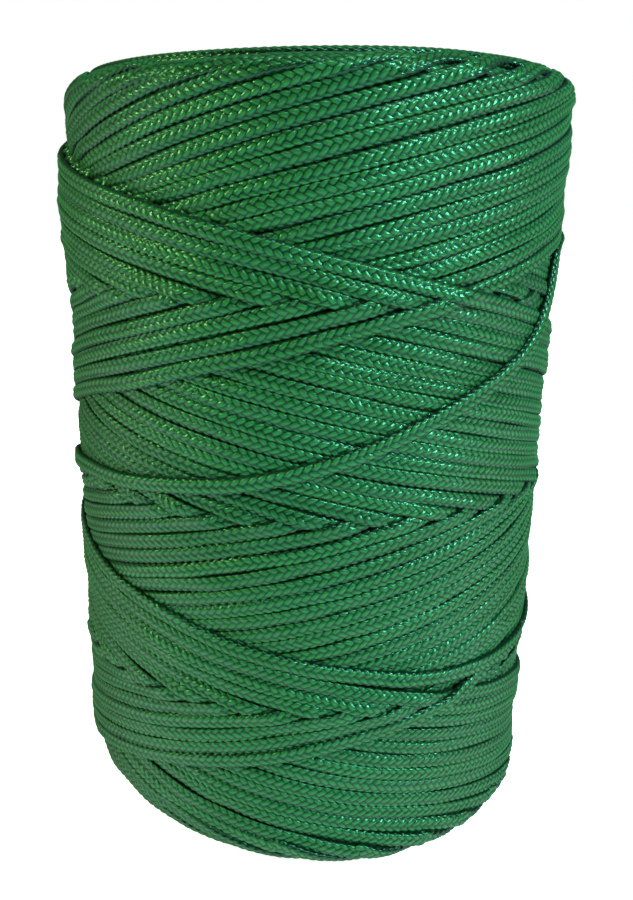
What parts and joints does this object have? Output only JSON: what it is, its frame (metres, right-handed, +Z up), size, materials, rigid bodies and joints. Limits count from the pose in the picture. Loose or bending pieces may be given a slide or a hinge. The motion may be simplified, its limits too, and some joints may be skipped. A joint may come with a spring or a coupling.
{
  "type": "spool of braided fishing twine",
  "caption": "Cross-wound package of flat braided twine on a cardboard tube, without flanges, that stands on its end or turns on a rod put through the tube.",
  "frame": {"origin": "centre of the lower end of the cardboard tube, on the surface that the package stands on", "axes": "+Z up along the tube; -Y is the side where one loose turn slants across the package; +X is to the right when it is seen from there"},
  "size_m": [0.1169, 0.1167, 0.1685],
  "materials": {
    "cardboard": "matte spiral-wound board",
    "twine": "green multifilament braid with a soft sheen"
  },
  "bodies": {
    "root": {"core_tube": "cardboard", "winding_first_layers": "twine", "winding_middle_layers": "twine", "lay_bottom_falling": "twine", "lay_lower_rising": "twine", "lay_lower_falling": "twine", "lay_middle_rising": "twine", "lay_middle_falling": "twine", "lay_upper_rising": "twine", "lay_upper_falling": "twine", "lay_top_rising": "twine", "turn_over_top_lay": "twine", "turn_over_middle_lay": "twine", "turn_over_lower_lay": "twine", "turn_over_bottom_lay": "twine", "loose_turn": "twine", "outer_cord_end": "twine"}
  },
  "joints": []
}
